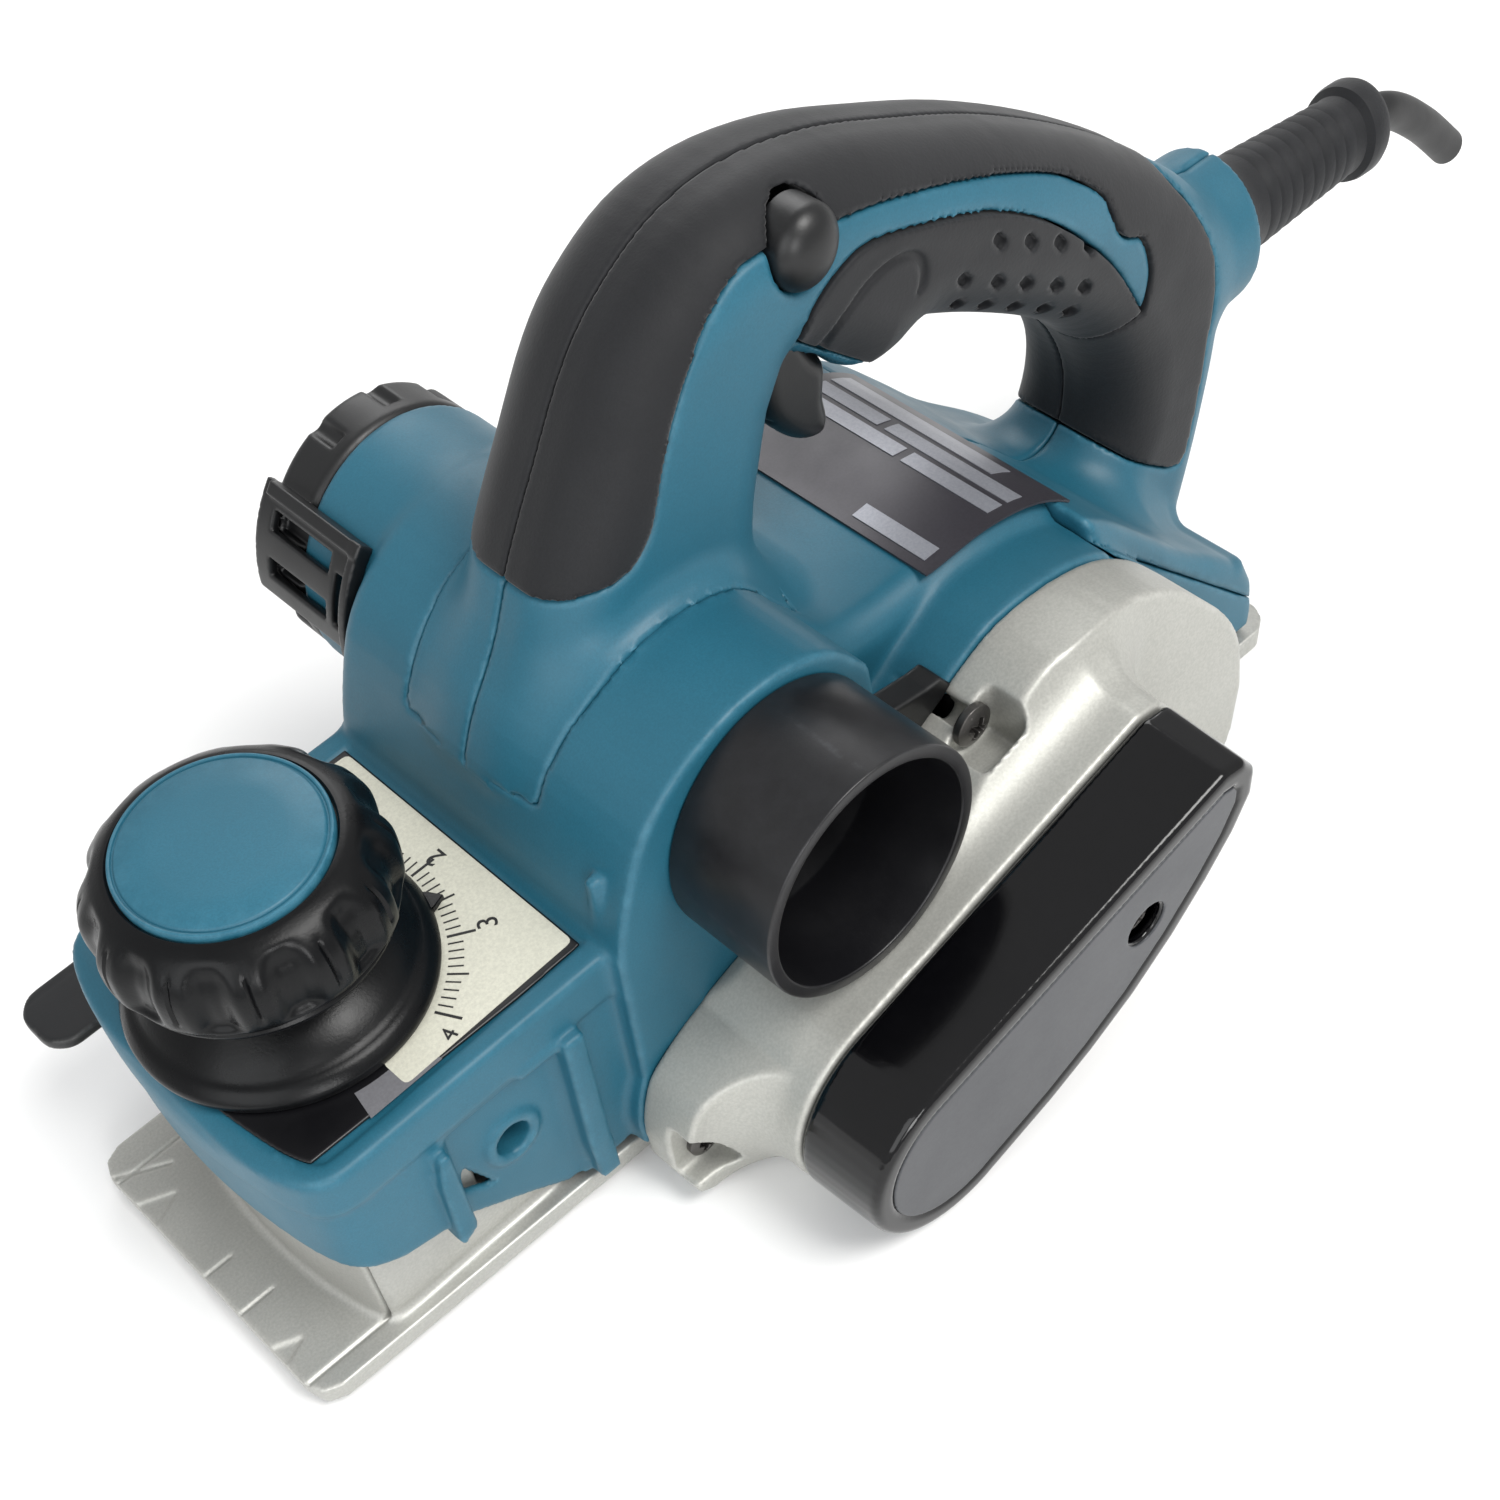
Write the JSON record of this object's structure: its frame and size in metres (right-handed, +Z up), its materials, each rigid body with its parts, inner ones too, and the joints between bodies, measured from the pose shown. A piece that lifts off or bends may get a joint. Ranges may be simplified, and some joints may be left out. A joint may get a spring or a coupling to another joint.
{
  "type": "hand-held electric planer",
  "caption": "Hand-held electric planer: loop handle with trigger, front depth knob over a lifting front shoe, belt-driven two-blade cutter and side chip outlet.",
  "frame": {"origin": "centre of the rear sole's flat underside, on the tool's mid-width line", "axes": "+X towards the front of the tool (planing direction), +Y towards its left, belt-cover side, +Z up"},
  "size_m": [0.3844, 0.1735, 0.1628],
  "materials": {
    "blue_plastic": "satin moulded glass-filled nylon",
    "black_plastic": "fine-textured moulded plastic",
    "knob_plastic": "satin moulded plastic",
    "soft_rubber": "soft matt overmould",
    "cast_aluminium": "die-cast and machined on the sole",
    "machined_shoe": "milled top and sole, cast sides",
    "side_casting_paint": "warm silver paint",
    "gloss_cover": "high gloss",
    "cover_label": "satin printed foil",
    "steel": "turned",
    "blade_steel": "ground",
    "laminations": "varnished laminations",
    "copper": "turned copper",
    "brass_holder": "pressed brass",
    "carbon": "pressed carbon",
    "belt_rubber": "ribbed rubber",
    "scale_plate": "printed scale with numbers only",
    "rating_plate": "blank satin foil",
    "cord_jacket": "smooth rubber",
    "stop_paint": "black paint"
  },
  "bodies": {
    "planer_body": {"rear_base": "cast_aluminium", "belt_side_casting": "side_casting_paint", "belt_cover": "gloss_cover", "cover_label": "cover_label", "cover_screw": "steel", "casting_screw_rear": "steel", "casting_screw_front": "steel", "drum_bearing_right": "steel", "drum_bearing_left": "steel", "drive_belt": "belt_rubber", "field_core": "laminations", "motor_bearing_left": "steel", "motor_bearing_right": "steel", "carbon_brush_front": "carbon", "carbon_brush_rear": "carbon", "brush_holder_front": "brass_holder", "brush_holder_rear": "brass_holder", "main_housing": "blue_plastic", "handle_shell_left": "blue_plastic", "handle_shell_right": "blue_plastic", "handle_grip_left": "soft_rubber", "handle_grip_right": "soft_rubber", "palm_insert_left": "soft_rubber", "palm_insert_right": "soft_rubber", "switch_module": "black_plastic", "chip_nozzle": "black_plastic", "outlet_cover": "black_plastic", "depth_spring": "steel", "scale_plate": "scale_plate", "rating_plate": "rating_plate", "cord_guard": "soft_rubber", "power_cord": "cord_jacket", "stop_screw": "black_plastic", "foot_pin": "steel"},
    "front_shoe": {"front_shoe": "machined_shoe"},
    "cutter": {"cutter_drum": "steel", "blade_a": "blade_steel", "blade_b": "blade_steel", "blade_clamp_a": "steel", "blade_clamp_b": "steel", "blade_bolt_a1": "steel", "blade_bolt_a2": "steel", "blade_bolt_a3": "steel", "blade_bolt_b1": "steel", "blade_bolt_b2": "steel", "blade_bolt_b3": "steel", "drum_pulley": "steel"},
    "motor_rotor": {"armature_shaft": "steel", "armature_core": "laminations", "commutator": "copper", "cooling_fan": "black_plastic", "motor_pulley": "steel"},
    "depth_knob": {"depth_knob": "knob_plastic", "knob_cap": "blue_plastic", "knob_screw": "steel"},
    "trigger": {"trigger": "black_plastic"},
    "lock_button": {"lock_button": "black_plastic"},
    "rebate_stop": {"depth_stop": "stop_paint"},
    "parking_foot": {"parking_foot": "black_plastic"}
  },
  "joints": [
    {"name": "depth_knob_turn", "type": "hinge", "parent": "planer_body", "child": "depth_knob", "pos_m": [0.165, 0, 0.085], "axis": [0, 0, 1], "range_deg": [-47.2, 78.4]},
    {"name": "front_shoe_lift", "type": "slide", "parent": "planer_body", "child": "front_shoe", "axis": [0, 0, 1], "range_m": [-0.0025, 0.0015], "deforming": ["depth_spring"]},
    {"name": "cutter_spin", "type": "hinge", "parent": "planer_body", "child": "cutter", "pos_m": [0.0845, 0, 0.024], "axis": [0, 1, 0], "continuous": true},
    {"name": "motor_spin", "type": "hinge", "parent": "planer_body", "child": "motor_rotor", "pos_m": [0.024, 0, 0.0535], "axis": [0, 1, 0], "continuous": true},
    {"name": "trigger_pull", "type": "hinge", "parent": "planer_body", "child": "trigger", "pos_m": [0.0395, 0, 0.127], "axis": [0, 1, 0], "range_deg": [0, 8]},
    {"name": "lock_button_press", "type": "slide", "parent": "planer_body", "child": "lock_button", "axis": [0, -1, 0], "range_m": [0, 0.004]},
    {"name": "rebate_stop_slide", "type": "slide", "parent": "planer_body", "child": "rebate_stop", "axis": [0, 0, 1], "range_m": [-0.017, 0]},
    {"name": "parking_foot_swing", "type": "hinge", "parent": "planer_body", "child": "parking_foot", "pos_m": [-0.0475, 0.0265, 0.0086], "axis": [0, 1, 0], "range_deg": [-35, 0]}
  ],
  "couplings": [
    {"joint": "depth_knob_turn", "follows": "front_shoe_lift", "rad_per_m": -544.55},
    {"joint": "motor_spin", "follows": "cutter_spin", "ratio": 2}
  ]
}
